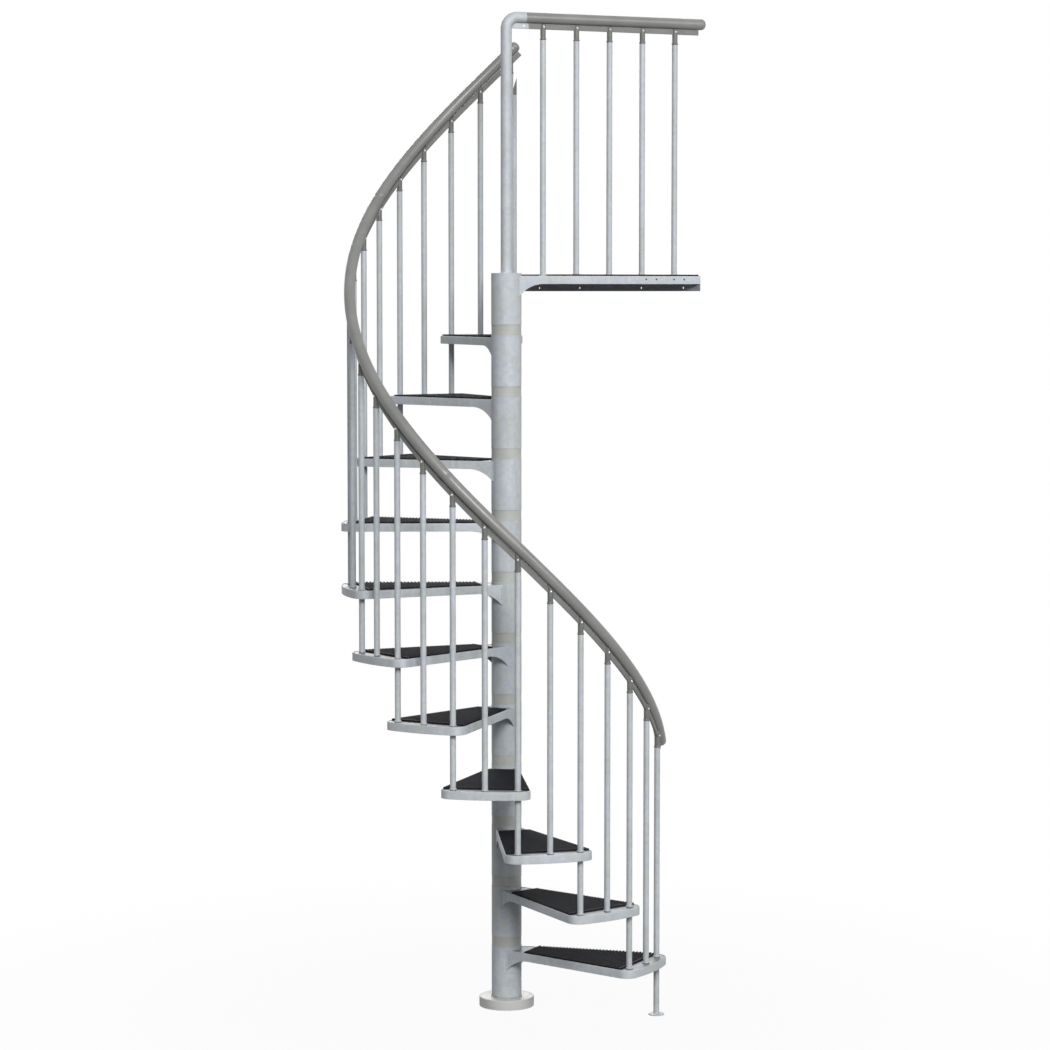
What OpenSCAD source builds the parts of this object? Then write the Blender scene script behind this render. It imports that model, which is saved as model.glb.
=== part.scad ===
// Outdoor spiral staircase: galvanised column sleeves with cantilevered treads,
// black ribbed boards, a helical handrail on thin balusters, and a wedge landing
// that bolts to the edge of the upper floor. The stair climbs clockwise, and +Y
// points to the upper floor. The origin is on the floor, at the column's axis.

/* [Climb] */
// Height from one tread to the next
rise = 233; // [190:1:260]
// Turn from one tread to the next, in degrees
tread_turn = 23.2; // [20:0.1:26]

/* [Column] */
// Outside diameter of the column sleeves
sleeve_d = 114.3; // [90:0.1:150]
// Wall thickness of the column sleeves
sleeve_wall = 5; // [3:0.5:8]
// Gap between the inner pole and the sleeves, on the radius
pole_gap = 0.5; // [0.3:0.1:2]
// Wall thickness of the inner pole
pole_wall = 5; // [3:0.5:8]
// Height of the plastic ring between two sleeves
spacer_h = 40; // [15:1:60]
// Thickness of the plate that closes the column's top
cap_t = 6; // [4:1:12]

/* [Foot] */
// Diameter of the floor plate
floor_plate_d = 201; // [170:1:260]
// Thickness of the floor plate
floor_plate_t = 8; // [6:1:15]
// Circle that the floor plate's anchor holes lie on
anchor_circle_d = 158; // [140:1:200]
// Diameter of the anchor holes
anchor_hole_d = 12; // [8:0.5:16]
// Wall thickness of the plastic foot cover
cover_wall = 3; // [2:0.5:5]
// Height of the plastic foot cover
cover_h = 37; // [25:1:60]

/* [Treads] */
// Radius from the column axis to a tread's outer edge
tread_r = 625; // [560:1:760]
// Radius of a tread's outer corners
tread_corner_r = 45; // [15:1:60]
// Half the width of a tread where its sides pass the column axis
side_offset = 43; // [30:1:50]
// Angle between a tread's side and its centre line, in degrees
side_angle = 12; // [9:0.1:14]
// Height of a tread's steel band
band_h = 31; // [22:1:45]
// Thickness of a tread's steel band
band_t = 4; // [3:0.5:6]
// Depth of the band's top edge below the sleeve's top
band_drop = 10; // [6:1:20]
// Thickness of the steel decks at both ends of a tread
deck_t = 4; // [2:0.5:6]
// Length of the curved web under a tread's side, from the column out
web_len = 100; // [60:1:120]
// Drop of the curved web below the band
web_drop = 47; // [20:1:70]
// Thickness of the curved web, less than the band it is welded inside
web_t = 3; // [2:0.5:3.5]
// Width of the cross bars under the boards
cross_bar_w = 40; // [20:1:60]
// Thickness of the cross bars under the boards
cross_bar_t = 4; // [3:0.5:8]

/* [Boards] */
// Distance from the column axis to the start of a tread board
board_start = 107; // [90:1:140]
// Distance from the column axis to the end of a tread board
board_end = 560; // [480:1:620]
// Thickness of the boards
board_t = 20; // [12:1:24]
// Height that the boards stand above the steel band
board_proud = 5.5; // [1:0.5:8]
// Gap round the boards
board_gap = 1; // [0.5:0.5:4]

/* [Landing] */
// Angle between the landing's two baluster lines, in degrees
landing_angle = 64; // [50:1:80]
// Distance from the column axis to the edge of the upper floor
exit_distance = 665; // [600:1:800]
// Distance from a landing side's baluster line out to its steel face
landing_side_offset = 45; // [35:1:52]
// Thickness of the flange on the upper floor's edge
exit_flange_t = 8; // [5:0.5:12]
// Height of the flange on the upper floor's edge
exit_flange_h = 58; // [45:1:90]
// Length of the flange on the upper floor's edge
exit_flange_len = 812; // [700:1:860]
// Distance from the landing's railed corner in to the flange's end
exit_flange_in = 10; // [0:1:60]
// Distance between the flange's two inner bolt holes
inner_bolts = 285; // [200:1:320]
// Distance between the flange's two outer bolt holes
outer_bolts = 665; // [500:1:700]
// Diameter of the flange's bolt holes
exit_hole_d = 9; // [6:0.5:13]
// Height of the bolt holes above the flange's lower edge
exit_hole_up = 13; // [10:0.5:25]
// Distance from the column axis to the start of the landing boards
landing_board_start = 160; // [130:1:220]
// Number of landing boards
landing_boards = 4; // [3:1:4]

/* [Balusters] */
// Diameter of a baluster
baluster_d = 22; // [16:0.5:28]
// Radius from the column axis to the balusters
baluster_r = 590; // [520:1:700]
// Gap between a baluster and the hole it passes through
baluster_gap = 0.3; // [0.2:0.1:1]
// Height of a baluster's top fitting below the handrail
fitting_h = 60; // [40:1:80]
// Diameter of a baluster's top fitting
fitting_d = 21; // [18:0.5:32]
// Diameter of the ring at the foot of a fitting
fitting_ring_d = 25; // [22:0.5:36]
// Height of the ring at the foot of a fitting
fitting_ring_h = 7; // [4:0.5:12]
// Gap between a fitting and the handrail above it
fitting_gap = 1.5; // [1:0.5:4]
// Gap between a fitting's slot and the flat bar in it
slot_gap = 0.5; // [0.4:0.1:1]
// Diameter of the first baluster's floor foot
foot_d = 60; // [40:1:90]
// Thickness of the first baluster's floor foot
foot_t = 5; // [3:0.5:8]
// Distance from the column axis to the landing's first baluster
landing_first = 152; // [130:1:200]
// Distance between landing balusters
landing_pitch = 139.75; // [110:0.25:141]
// Number of landing balusters
landing_balusters_n = 5; // [3:1:5]
// Distance from the column axis to the post at the landing's entry corner
corner_post_at = 730; // [680:1:740]
// Distance of the corner post from the entry side's baluster line
corner_post_in = 10; // [0:1:60]
// Height of the corner post above the landing's sleeve top
corner_post_h = 712; // [500:1:900]
// Height of the bevelled plug on the corner post
corner_plug_h = 66; // [30:1:90]
// Height of the plug's lowest edge above its post
corner_plug_lip = 2; // [1:1:6]

/* [Handrail] */
// Diameter of the handrail tube
rail_d = 42; // [34:0.5:50]
// Height of the stair rail's centre above a tread's sleeve top
rail_h = 991; // [850:1:1100]
// Height of the landing rail's centre above the landing's sleeve top
landing_rail_h = 956; // [850:1:1100]
// Height of the flat bar under the handrail
bar_h = 20; // [12:1:30]
// Thickness of the flat bar under the handrail
bar_t = 8; // [5:0.5:12]
// Shadow gap between the handrail and the flat bar
bar_gap = 0.5; // [0:0.5:3]
// Distance from the column axis to the landing rail's end
landing_rail_end = 822; // [760:1:900]
// Distance from the landing rail's start to its flat bar
bar_start_in = 14; // [5:1:40]
// Distance from the landing rail's end back to the end of its flat bar
bar_end_in = 10; // [0:1:40]
// Turn that one length of the stair rail covers, in degrees; the last one is shorter
rail_section_turn = 102.1; // [90:0.1:110]
// Length of a handrail's rounded end
rail_end_len = 21; // [8:1:24]
// Angle that the stair rail runs on below the first baluster, in degrees
rail_below = 7.2; // [3:0.1:14]
// Angle that the stair rail runs on above the last baluster, in degrees
rail_above = 1.4; // [1:0.1:4]

/* [Newel] */
// Diameter of the newel tube
newel_d = 42.4; // [34:0.1:50]
// Wall thickness of the newel tube
newel_wall = 2.6; // [2:0.1:5]
// Bend radius of the newel tube's centre line
newel_bend_r = 44; // [36:1:80]
// Distance from the column axis to where the landing rail starts
landing_rail_start = 77; // [70:1:110]

/* [Hidden] */
$fn = 64;
steps = 11;
eps = 0.01;
landing_z = rise * (steps + 1);
half_turn = tread_turn / 2;
last_baluster = 2 * steps + 1;
landing_half = landing_angle / 2;
entry_angle = 90 + landing_half;
rail_side_angle = 90 - landing_half;

sleeve_r = sleeve_d / 2;
sleeve_bore_r = sleeve_r - sleeve_wall;
pole_r = sleeve_bore_r - pole_gap;
sleeve_h = rise - spacer_h;

deck_top = -band_drop;
band_low = deck_top - band_h;
board_top = deck_top + board_proud;
board_low = board_top - board_t;
hole_r = baluster_d / 2 + baluster_gap;

side_start = sqrt(sleeve_r * sleeve_r - side_offset * side_offset);
corner_r_at = tread_r - tread_corner_r;
corner_angle = side_angle + asin((side_offset - tread_corner_r) / corner_r_at);
corner_at = corner_r_at * [cos(corner_angle), sin(corner_angle)];
corner_steps = 9;
outer_steps = 8;
web_r = (web_len * web_len + web_drop * web_drop) / (2 * web_drop);

landing_corner_x = exit_distance * tan(landing_half) + landing_side_offset / cos(landing_half);
landing_side_start = sqrt(sleeve_r * sleeve_r - landing_side_offset * landing_side_offset);
flange_shift = landing_corner_x - exit_flange_in - exit_flange_len / 2;
exit_hole_z = landing_z + deck_top - exit_flange_h + exit_hole_up;
board_field_end = exit_distance - exit_flange_t - board_gap;
landing_board_w = (board_field_end - landing_board_start) / landing_boards;

rail_turn_start = -rail_below;
rail_turn_end = 2 * steps * half_turn + rail_above;
rail_slope = rise / tread_turn;
first_rail_z = rise + rail_h - half_turn * rail_slope;
landing_rail_z = landing_z + landing_rail_h;
climb_angle = atan(rail_slope * 180 / (PI * baluster_r));
bar_centre_drop = rail_d / 2 + bar_gap + bar_h / 2;
rail_sections = 3;
rings_per_section = 40;
tube_sides = 20;
bar_start = landing_rail_start + bar_start_in;
bar_end = landing_rail_end - bar_end_in;

galvanised = [0.76, 0.79, 0.81];
spacer_grey = [0.71, 0.72, 0.70];
cover_grey = [0.73, 0.73, 0.70];
board_black = [0.17, 0.18, 0.19];
rail_grey = [0.55, 0.56, 0.54];
bar_grey = [0.66, 0.66, 0.65];
fitting_grey = [0.52, 0.53, 0.52];

// Angle of a stair baluster seen from above, counted from 1 at the bottom
function baluster_angle(n) = entry_angle + (last_baluster - n) * half_turn;
// Angle of a tread's centre line
function tread_angle(k) = baluster_angle(2 * k);
// Height of the stair rail's centre, at a turn counted from the first baluster
function rail_z(turn) = first_rail_z + turn * rail_slope;
// Point on the stair rail's centre line
function rail_point(turn) = [
    baluster_r * cos(baluster_angle(1) - turn),
    baluster_r * sin(baluster_angle(1) - turn),
    rail_z(turn)
];
// Directions across the stair rail: outwards, and up square to the rail
function rail_out(turn) = [cos(baluster_angle(1) - turn), sin(baluster_angle(1) - turn), 0];
function rail_along(turn) = [
    sin(baluster_angle(1) - turn) * cos(climb_angle),
    -cos(baluster_angle(1) - turn) * cos(climb_angle),
    sin(climb_angle)
];
function rail_up(turn) = cross(rail_out(turn), rail_along(turn)) * -1;

// Closed tube through rings of points, with flat ends
module skin(rings) {
    count = len(rings[0]);
    last = len(rings) - 1;
    points = [for (ring = rings) for (p = ring) p];
    walls = [
        for (i = [0 : last - 1], j = [0 : count - 1])
            let (a = i * count + j, b = i * count + (j + 1) % count)
                each [[a, b, b + count], [a, b + count, a + count]]
    ];
    low_end = [for (j = [count - 1 : -1 : 0]) j];
    high_end = [for (j = [0 : count - 1]) last * count + j];
    polyhedron(points, concat([low_end], walls, [high_end]), convexity = 10);
}

module ring(outer_r, inner_r, height) {
    difference() {
        cylinder(r = outer_r, h = height);
        translate([0, 0, -1]) cylinder(r = inner_r, h = height + 2);
    }
}

// Points on an arc, from one angle to another
function arc(centre, r, from, to, count) = [
    for (i = [0 : count])
        let (a = from + (to - from) * i / count)
            centre + r * [cos(a), sin(a)]
];

// Half of a tread's outline, from the column axis along one side to the outer middle
function half_outline(inset) = concat(
    [[-inset, (side_offset - inset - inset * sin(side_angle)) / cos(side_angle)]],
    arc(corner_at, tread_corner_r - inset, 90 + side_angle, corner_angle, corner_steps),
    arc([0, 0], tread_r - inset, corner_angle * (1 - 1 / outer_steps), 0, outer_steps - 1)
);

// Outline of a tread from the column axis out, drawn inside its band by inset
module tread_outline(inset = 0) {
    half = half_outline(inset);
    mirrored = [for (i = [len(half) - 2 : -1 : 0]) [half[i].x, -half[i].y]];
    polygon(concat(half, mirrored));
}

// Curved web that carries a side, centred on the XZ plane with its shoulder at z = 0
module side_web(start) {
    rotate([90, 0, 0])
        translate([0, 0, -web_t / 2])
            linear_extrude(web_t)
                difference() {
                    translate([start, -web_drop]) square([web_len, web_drop + band_h / 2]);
                    translate([start + web_len, -web_r]) circle(r = web_r);
                }
}

module tread_carrier(k) {
    color(galvanised)
        rotate([0, 0, tread_angle(k)])
            translate([0, 0, k * rise]) {
                difference() {
                    union() {
                        translate([0, 0, -sleeve_h]) cylinder(r = sleeve_r, h = sleeve_h);
                        tread_steel();
                    }
                    translate([0, 0, -sleeve_h - 1]) cylinder(r = sleeve_bore_r, h = sleeve_h + 2);
                    for (t = [-half_turn, 0, half_turn]) {
                        rotate([0, 0, t])
                            translate([baluster_r, 0, deck_top - deck_t - 1])
                                cylinder(r = hole_r, h = deck_t + 2);
                    }
                }
            }
}

module tread_steel() {
    translate([0, 0, band_low])
        linear_extrude(band_h)
            difference() {
                tread_outline();
                tread_outline(band_t);
            }
    translate([0, 0, deck_top - deck_t])
        linear_extrude(deck_t)
            difference() {
                tread_outline(band_t / 2);
                translate([board_start, -tread_r]) square([board_end - board_start, 2 * tread_r]);
            }
    for (x = [board_start, (board_start + board_end - cross_bar_w) / 2, board_end - cross_bar_w]) {
        translate([0, 0, board_low - cross_bar_t])
            linear_extrude(cross_bar_t)
                intersection() {
                    tread_outline(band_t / 2);
                    translate([x, -tread_r]) square([cross_bar_w, 2 * tread_r]);
                }
    }
    for (s = [-1, 1]) {
        rotate([0, 0, s * side_angle])
            translate([0, s * (side_offset - band_t / 2), band_low])
                side_web(side_start);
    }
}

module tread_board(k) {
    color(board_black)
        rotate([0, 0, tread_angle(k)])
            translate([0, 0, k * rise + board_low])
                linear_extrude(board_t)
                    intersection() {
                        tread_outline(band_t + board_gap);
                        translate([board_start + board_gap, -tread_r])
                            square([board_end - board_start - 2 * board_gap, 2 * tread_r]);
                    }
}

module center_pole() {
    color(galvanised)
        translate([0, 0, floor_plate_t])
            ring(pole_r, pole_r - pole_wall, landing_z - floor_plate_t - cap_t);
}

module floor_plate() {
    color(galvanised)
        difference() {
            cylinder(r = floor_plate_d / 2, h = floor_plate_t);
            for (a = [45 : 90 : 315]) {
                rotate([0, 0, a])
                    translate([anchor_circle_d / 2, 0, -1])
                        cylinder(r = anchor_hole_d / 2, h = floor_plate_t + 2);
            }
        }
}

module foot_cover() {
    inner_r = floor_plate_d / 2 + board_gap;
    color(cover_grey)
        difference() {
            cylinder(r = inner_r + cover_wall, h = cover_h);
            translate([0, 0, -1]) cylinder(r = inner_r, h = cover_h - cover_wall + 1);
            translate([0, 0, -1]) cylinder(r = sleeve_r + pole_gap, h = cover_h + 2);
        }
}

module spacer_rings() {
    color(spacer_grey) {
        translate([0, 0, floor_plate_t])
            ring(sleeve_r, sleeve_bore_r, rise - sleeve_h - floor_plate_t);
        for (k = [1 : steps]) {
            translate([0, 0, k * rise]) ring(sleeve_r, sleeve_bore_r, spacer_h);
        }
    }
}

// Wedge of the landing seen from above, with all its edges moved in by inset
module landing_outline(inset = 0) {
    side = (landing_side_offset - inset) / cos(landing_half);
    far = exit_distance - exit_flange_t - inset;
    near = -(landing_side_offset - inset) / sin(landing_half);
    polygon([
        [0, near],
        [far * tan(landing_half) + side, far],
        [-far * tan(landing_half) - side, far]
    ]);
}

module landing_baluster_holes(low, high) {
    for (i = [0 : landing_balusters_n - 1]) {
        rotate([0, 0, rail_side_angle])
            translate([landing_first + i * landing_pitch, 0, low])
                cylinder(r = hole_r, h = high - low);
    }
    rotate([0, 0, entry_angle]) {
        translate([baluster_r, 0, low]) cylinder(r = hole_r, h = high - low);
        translate([corner_post_at, -corner_post_in, low]) cylinder(r = hole_r, h = high - low);
    }
}

module landing_carrier() {
    color(galvanised)
        translate([0, 0, landing_z])
            difference() {
                union() {
                    translate([0, 0, -sleeve_h]) cylinder(r = sleeve_r, h = sleeve_h);
                    landing_steel();
                }
                translate([0, 0, -sleeve_h - 1]) cylinder(r = sleeve_bore_r, h = sleeve_h + 2);
                landing_baluster_holes(band_low, 1);
            }
}

module landing_steel() {
    difference() {
        translate([0, 0, band_low])
            linear_extrude(band_h)
                difference() {
                    landing_outline();
                    landing_outline(band_t);
                }
        translate([-exit_distance, -exit_distance, band_low - 1])
            cube([2 * exit_distance, exit_distance, band_h + 2]);
    }
    translate([0, 0, deck_top - deck_t])
        linear_extrude(deck_t)
            intersection() {
                landing_outline(band_t / 2);
                translate([-exit_distance, 0]) square([2 * exit_distance, landing_board_start]);
            }
    for (i = [0 : landing_boards]) {
        y = min(landing_board_start + i * landing_board_w, board_field_end - cross_bar_w / 2);
        translate([0, 0, board_low - cross_bar_t])
            linear_extrude(cross_bar_t)
                intersection() {
                    landing_outline(band_t / 2);
                    translate([-exit_distance, y - cross_bar_w / 2]) square([2 * exit_distance, cross_bar_w]);
                }
    }
    for (s = [-1, 1]) {
        rotate([0, 0, 90 - s * landing_half])
            translate([0, s * (band_t / 2 - landing_side_offset), band_low])
                side_web(landing_side_start);
    }
}

module exit_flange() {
    color(galvanised)
        difference() {
            translate([flange_shift - exit_flange_len / 2, exit_distance - exit_flange_t,
                       landing_z + deck_top - exit_flange_h])
                cube([exit_flange_len, exit_flange_t, exit_flange_h]);
            for (gap = [inner_bolts, outer_bolts], s = [-1, 1]) {
                translate([flange_shift + s * gap / 2, exit_distance + 1, exit_hole_z])
                    rotate([90, 0, 0])
                        cylinder(r = exit_hole_d / 2, h = exit_flange_t + 2);
            }
        }
}

module landing_deck_boards() {
    color(board_black)
        difference() {
            translate([0, 0, landing_z + board_low])
                linear_extrude(board_t)
                    for (i = [0 : landing_boards - 1]) {
                        intersection() {
                            landing_outline(band_t + board_gap);
                            translate([-exit_distance, landing_board_start + i * landing_board_w + board_gap])
                                square([2 * exit_distance, landing_board_w - 2 * board_gap]);
                        }
                    }
            translate([0, 0, landing_z]) landing_baluster_holes(band_low, 1);
        }
}

module column_cap() {
    color(galvanised)
        translate([0, 0, landing_z - cap_t])
            cylinder(r = sleeve_bore_r - pole_gap, h = cap_t);
}

// Newel's outline as a solid bar: straight up from z = 0, bent over, and level to the landing rail
module newel_solid(r) {
    bend_z = landing_rail_h - newel_bend_r;
    cylinder(r = r, h = bend_z);
    translate([newel_bend_r, 0, bend_z])
        rotate([90, 0, 0])
            rotate([0, 0, 90])
                rotate_extrude(angle = 90)
                    translate([newel_bend_r, 0])
                        circle(r = r);
    translate([newel_bend_r, 0, landing_rail_h])
        rotate([0, 90, 0])
            cylinder(r = r, h = landing_rail_start - newel_bend_r);
}

module newel_post() {
    color(galvanised)
        translate([0, 0, landing_z])
            rotate([0, 0, rail_side_angle])
                difference() {
                    newel_solid(newel_d / 2);
                    newel_solid(newel_d / 2 - newel_wall);
                }
}

module newel_tab() {
    color(galvanised)
        translate([0, 0, landing_z])
            rotate([0, 0, rail_side_angle])
                difference() {
                    translate([0, -bar_t / 2, landing_rail_h - bar_centre_drop - bar_h / 2])
                        cube([bar_start, bar_t, bar_h]);
                    newel_solid(newel_d / 2);
                }
}

module landing_rail_bar() {
    color(bar_grey)
        rotate([0, 0, rail_side_angle])
            translate([bar_start, -bar_t / 2, landing_rail_z - bar_centre_drop - bar_h / 2])
                cube([bar_end - bar_start, bar_t, bar_h]);
}

module landing_handrail() {
    color(rail_grey)
        rotate([0, 0, rail_side_angle])
            translate([landing_rail_start, 0, landing_rail_z])
                rotate([0, 90, 0])
                    ring(rail_d / 2, rail_d / 2 - newel_wall, landing_rail_end - landing_rail_start);
}

// Rounded plastic end of a handrail, pointing along +X
module rail_cap_shape() {
    rotate([0, 90, 0])
        rotate_extrude()
            intersection() {
                square([rail_d / 2, rail_end_len + 1]);
                scale([1, rail_end_len / (rail_d / 2)]) circle(r = rail_d / 2);
            }
}

module landing_rail_cap() {
    color(rail_grey)
        rotate([0, 0, rail_side_angle])
            translate([landing_rail_end, 0, landing_rail_z])
                rail_cap_shape();
}

// Fitting under the handrail: a ringed sleeve cut along the rail, slotted for its flat bar
module fitting(slope) {
    low = -rail_d / 2 / cos(slope) - fitting_h;
    difference() {
        union() {
            translate([0, 0, low]) cylinder(r = fitting_ring_d / 2, h = fitting_ring_h);
            translate([0, 0, low]) cylinder(r = fitting_d / 2, h = fitting_h);
        }
        rotate([0, -slope, 0]) {
            translate([-fitting_h, -bar_t / 2 - slot_gap, -bar_centre_drop - bar_h / 2 - slot_gap])
                cube([2 * fitting_h, bar_t + 2 * slot_gap, 2 * bar_h]);
            translate([-fitting_h, -fitting_h, -rail_d / 2 - fitting_gap])
                cube(2 * fitting_h);
        }
    }
}

module landing_fittings() {
    color(fitting_grey)
        for (i = [0 : landing_balusters_n - 1]) {
            rotate([0, 0, rail_side_angle])
                translate([landing_first + i * landing_pitch, 0, landing_rail_z])
                    fitting(0);
        }
}

module landing_balusters() {
    color(galvanised)
        for (i = [0 : landing_balusters_n - 1]) {
            rotate([0, 0, rail_side_angle])
                translate([landing_first + i * landing_pitch, 0, landing_z + band_low])
                    cylinder(r = baluster_d / 2, h = landing_rail_h - rail_d / 2 - fitting_h - band_low);
        }
}

module stair_fittings() {
    color(fitting_grey)
        for (n = [1 : last_baluster]) {
            translate(rail_point((n - 1) * half_turn))
                rotate([0, 0, baluster_angle(n) - 90])
                    fitting(climb_angle);
        }
}

module stair_balusters() {
    color(galvanised)
        for (n = [1 : last_baluster]) {
            lowest_tread = floor(n / 2);
            low = lowest_tread == 0 ? foot_t : lowest_tread * rise + band_low;
            high = rail_z((n - 1) * half_turn) - rail_d / 2 / cos(climb_angle) - fitting_h;
            rotate([0, 0, baluster_angle(n)])
                translate([baluster_r, 0, low])
                    cylinder(r = baluster_d / 2, h = high - low);
        }
}

module corner_post() {
    color(galvanised)
        rotate([0, 0, entry_angle])
            translate([corner_post_at, -corner_post_in, landing_z + band_low])
                cylinder(r = baluster_d / 2, h = corner_post_h - band_low);
}

// Plug cut on a slant, high on its side away from the landing
module corner_post_plug() {
    slant = atan(corner_plug_h / baluster_d);
    color(fitting_grey)
        rotate([0, 0, entry_angle])
            translate([corner_post_at, -corner_post_in, landing_z + corner_post_h])
                difference() {
                    cylinder(r = baluster_d / 2, h = corner_plug_h);
                    translate([0, -baluster_d / 2 - eps, corner_plug_lip])
                        rotate([slant, 0, 0])
                            translate([-baluster_d, 0, 0])
                                cube([2 * baluster_d, 2 * corner_plug_h, 2 * corner_plug_h]);
                }
}

module baluster_foot() {
    color(galvanised)
        rotate([0, 0, baluster_angle(1)])
            translate([baluster_r, 0, 0])
                cylinder(r = foot_d / 2, h = foot_t);
}

// Round section of the stair rail, as a ring of points
function rail_ring(turn, r) = [
    for (i = [0 : tube_sides - 1])
        let (a = 360 * i / tube_sides)
            rail_point(turn) + r * (cos(a) * rail_out(turn) + sin(a) * rail_up(turn))
];

module stair_handrail(section) {
    from = rail_turn_start + (section - 1) * rail_section_turn;
    span = section == rail_sections ? rail_turn_end - from : rail_section_turn;
    color(rail_grey)
        skin([for (i = [0 : rings_per_section]) rail_ring(from + span * i / rings_per_section, rail_d / 2)]);
}

// Rounded ends of the stair rail, square to its slope
module stair_rail_caps() {
    color(rail_grey)
        for (end = [[rail_turn_start, -1], [rail_turn_end, 1]]) {
            x = end[1] * rail_along(end[0]);
            y = end[1] * rail_out(end[0]);
            z = rail_up(end[0]);
            at = rail_point(end[0]);
            multmatrix([
                [x.x, y.x, z.x, at.x],
                [x.y, y.y, z.y, at.y],
                [x.z, y.z, z.z, at.z],
                [0, 0, 0, 1]
            ])
                rail_cap_shape();
        }
}

// Point on the flat bar: at a drop square to the rail, and at its own radius
function bar_point(turn, drop, r) =
    let (a = baluster_angle(1) - turn - drop * sin(climb_angle) / baluster_r * 180 / PI)
        [r * cos(a), r * sin(a), rail_z(turn) - drop * cos(climb_angle)];

// Flat bar section as a ring of points
function bar_ring(turn) = [
    for (c = [[-1, -1], [1, -1], [1, 1], [-1, 1]])
        bar_point(turn, bar_centre_drop - c.y * bar_h / 2, baluster_r + c.x * bar_t / 2)
];

module stair_rail_bar() {
    rings = rings_per_section * rail_sections;
    color(bar_grey)
        skin([
            for (i = [0 : rings])
                bar_ring(rail_turn_start + (rail_turn_end - rail_turn_start) * i / rings)
        ]);
}

center_pole();
floor_plate();
foot_cover();
spacer_rings();
tread_carrier(1);  // tread_carrier_01
tread_carrier(2);  // tread_carrier_02
tread_carrier(3);  // tread_carrier_03
tread_carrier(4);  // tread_carrier_04
tread_carrier(5);  // tread_carrier_05
tread_carrier(6);  // tread_carrier_06
tread_carrier(7);  // tread_carrier_07
tread_carrier(8);  // tread_carrier_08
tread_carrier(9);  // tread_carrier_09
tread_carrier(10);  // tread_carrier_10
tread_carrier(11);  // tread_carrier_11
tread_board(1);  // tread_board_01
tread_board(2);  // tread_board_02
tread_board(3);  // tread_board_03
tread_board(4);  // tread_board_04
tread_board(5);  // tread_board_05
tread_board(6);  // tread_board_06
tread_board(7);  // tread_board_07
tread_board(8);  // tread_board_08
tread_board(9);  // tread_board_09
tread_board(10);  // tread_board_10
tread_board(11);  // tread_board_11
landing_carrier();
exit_flange();
landing_deck_boards();
column_cap();
newel_post();
newel_tab();
landing_balusters();
landing_fittings();
corner_post();
corner_post_plug();
landing_handrail();
landing_rail_bar();
landing_rail_cap();
stair_balusters();
stair_fittings();
baluster_foot();
stair_handrail(1);  // stair_handrail_1
stair_handrail(2);  // stair_handrail_2
stair_handrail(3);  // stair_handrail_3
stair_rail_bar();
stair_rail_caps();
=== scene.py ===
"""Looks of the outdoor spiral staircase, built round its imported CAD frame. Metres, +Z up."""
import math

import bmesh
import bpy
from mathutils import Matrix, Vector, noise


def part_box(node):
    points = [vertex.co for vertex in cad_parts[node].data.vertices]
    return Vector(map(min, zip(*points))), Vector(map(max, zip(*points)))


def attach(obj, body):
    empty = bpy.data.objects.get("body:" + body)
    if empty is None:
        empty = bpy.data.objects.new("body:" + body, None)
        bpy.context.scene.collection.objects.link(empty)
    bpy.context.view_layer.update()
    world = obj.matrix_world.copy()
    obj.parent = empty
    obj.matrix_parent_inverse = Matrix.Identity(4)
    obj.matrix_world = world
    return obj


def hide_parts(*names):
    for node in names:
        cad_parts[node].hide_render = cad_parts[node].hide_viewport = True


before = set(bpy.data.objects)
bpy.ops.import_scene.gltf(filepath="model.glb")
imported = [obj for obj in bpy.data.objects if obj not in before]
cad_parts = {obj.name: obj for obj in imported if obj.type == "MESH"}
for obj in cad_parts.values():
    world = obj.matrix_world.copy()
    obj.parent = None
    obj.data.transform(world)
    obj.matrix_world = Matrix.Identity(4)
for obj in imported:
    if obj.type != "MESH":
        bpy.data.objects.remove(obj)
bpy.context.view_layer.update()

# Climb: the same sizes as the CAD part, in metres and radians
STEPS = 11
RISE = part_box("tread_board_02")[1].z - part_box("tread_board_01")[1].z
HALF_TURN = math.radians(11.6)
LANDING_Z = RISE * (STEPS + 1)
LANDING_HALF = math.radians(32)
ENTRY_ANGLE = math.pi / 2 + LANDING_HALF
RAIL_SIDE_ANGLE = math.pi / 2 - LANDING_HALF
LAST_BALUSTER = 2 * STEPS + 1

# Column
SLEEVE_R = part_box("spacer_rings")[1].x
SLEEVE_WALL = 0.005
SLEEVE_MID_R = SLEEVE_R - SLEEVE_WALL / 2
SLEEVE_RIM = 0.0009
SPACER_H = 0.040
SPACER_LIP = 0.0025
SPACER_WAIST = 0.0008
COVER_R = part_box("foot_cover")[1].x
COVER_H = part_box("foot_cover")[1].z
COVER_WALL = 0.003
COVER_ROUND = 0.0028
COVER_EDGE = 0.0004
COVER_HOLE_GAP = 0.0005
COVER_HOLE_ROUND = 0.0015
CAP_RIM = 0.0012

# Treads: heights are measured from a tread's sleeve top
TREAD_R = 0.62498
CORNER_R = 0.045
SIDE_OFFSET = 0.043
SIDE_ANGLE = math.radians(12)
BAND_TOP = -0.010
BAND_H = 0.031
BAND_T = 0.004
BAND_LIP = 0.003
DECK_T = 0.004
DECK_SUNK = 0.0018
RIM_LEAST = 0.0001
WEB_LEN = 0.100
WEB_DROP = 0.047
CROSS_BAR_W = 0.040
CROSS_BAR_T = 0.004
EDGE = 0.0006

# Weld beads: radius, how much it wavers, and how fast along the bead
WELD_R = 0.0028
WELD_WAVER = 0.0009
WELD_RIPPLE = 260
WELD_END_SHARE = 0.35
WELD_SHORT = 0.001
NEWEL_WELD_R = 0.0030
NEWEL_WELD_WAVER = 0.0008
NEWEL_WELD_RIPPLE = 9
NEWEL_WELD_SEED = 4
LANDING_WELD_SEED = 50
TREAD_WELD_SEED = 3.7

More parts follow.
